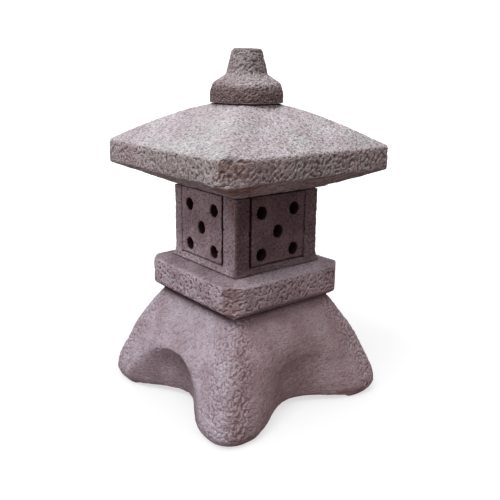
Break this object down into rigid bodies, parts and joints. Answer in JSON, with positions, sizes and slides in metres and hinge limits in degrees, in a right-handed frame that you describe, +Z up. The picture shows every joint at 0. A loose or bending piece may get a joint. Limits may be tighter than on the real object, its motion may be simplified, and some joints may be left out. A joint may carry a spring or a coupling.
{
  "type": "stone lantern",
  "caption": "Small set-on stone garden lantern: toed base, square platform, light box with pierced window panels, hipped roof and finial, with a tealight inside.",
  "frame": {"origin": "on the ground under the middle of the lantern", "axes": "+Z up through the finial; the four equal sides face -Y, +X, +Y and -X"},
  "size_m": [0.1848, 0.1848, 0.303],
  "materials": {
    "base_stone": "matte",
    "platform_stone": "matte",
    "box_stone": "matte",
    "panel_stone": "matte",
    "roof_stone": "matte",
    "finial_stone": "matte",
    "dowel_steel": "satin",
    "cup_aluminium": "satin",
    "candle_wax": "satin",
    "tab_steel": "satin",
    "wick_cotton": "matte"
  },
  "bodies": {
    "base": {"base": "base_stone", "base_dowel": "dowel_steel"},
    "platform": {"platform": "platform_stone"},
    "light_box": {"light_box": "box_stone", "panel_front": "panel_stone", "panel_right": "panel_stone", "panel_back": "panel_stone", "panel_left": "panel_stone"},
    "roof": {"roof": "roof_stone", "finial_dowel": "dowel_steel"},
    "finial": {"finial": "finial_stone"},
    "tealight": {"tealight_cup": "cup_aluminium", "tealight_wax": "candle_wax", "wick_tab": "tab_steel", "wick": "wick_cotton"}
  },
  "joints": [
    {"name": "platform_lift", "type": "slide", "parent": "base", "child": "platform", "axis": [0, 0, 1], "range_m": [0, 0.04]},
    {"name": "light_box_lift", "type": "slide", "parent": "platform", "child": "light_box", "axis": [0, 0, 1], "range_m": [0, 0.07]},
    {"name": "roof_lift", "type": "slide", "parent": "light_box", "child": "roof", "axis": [0, 0, 1], "range_m": [0, 0.1]},
    {"name": "finial_lift", "type": "slide", "parent": "roof", "child": "finial", "axis": [0, 0, 1], "range_m": [0, 0.04]},
    {"name": "tealight_lift", "type": "slide", "parent": "platform", "child": "tealight", "axis": [0, 0, 1], "range_m": [0, 0.03]}
  ]
}
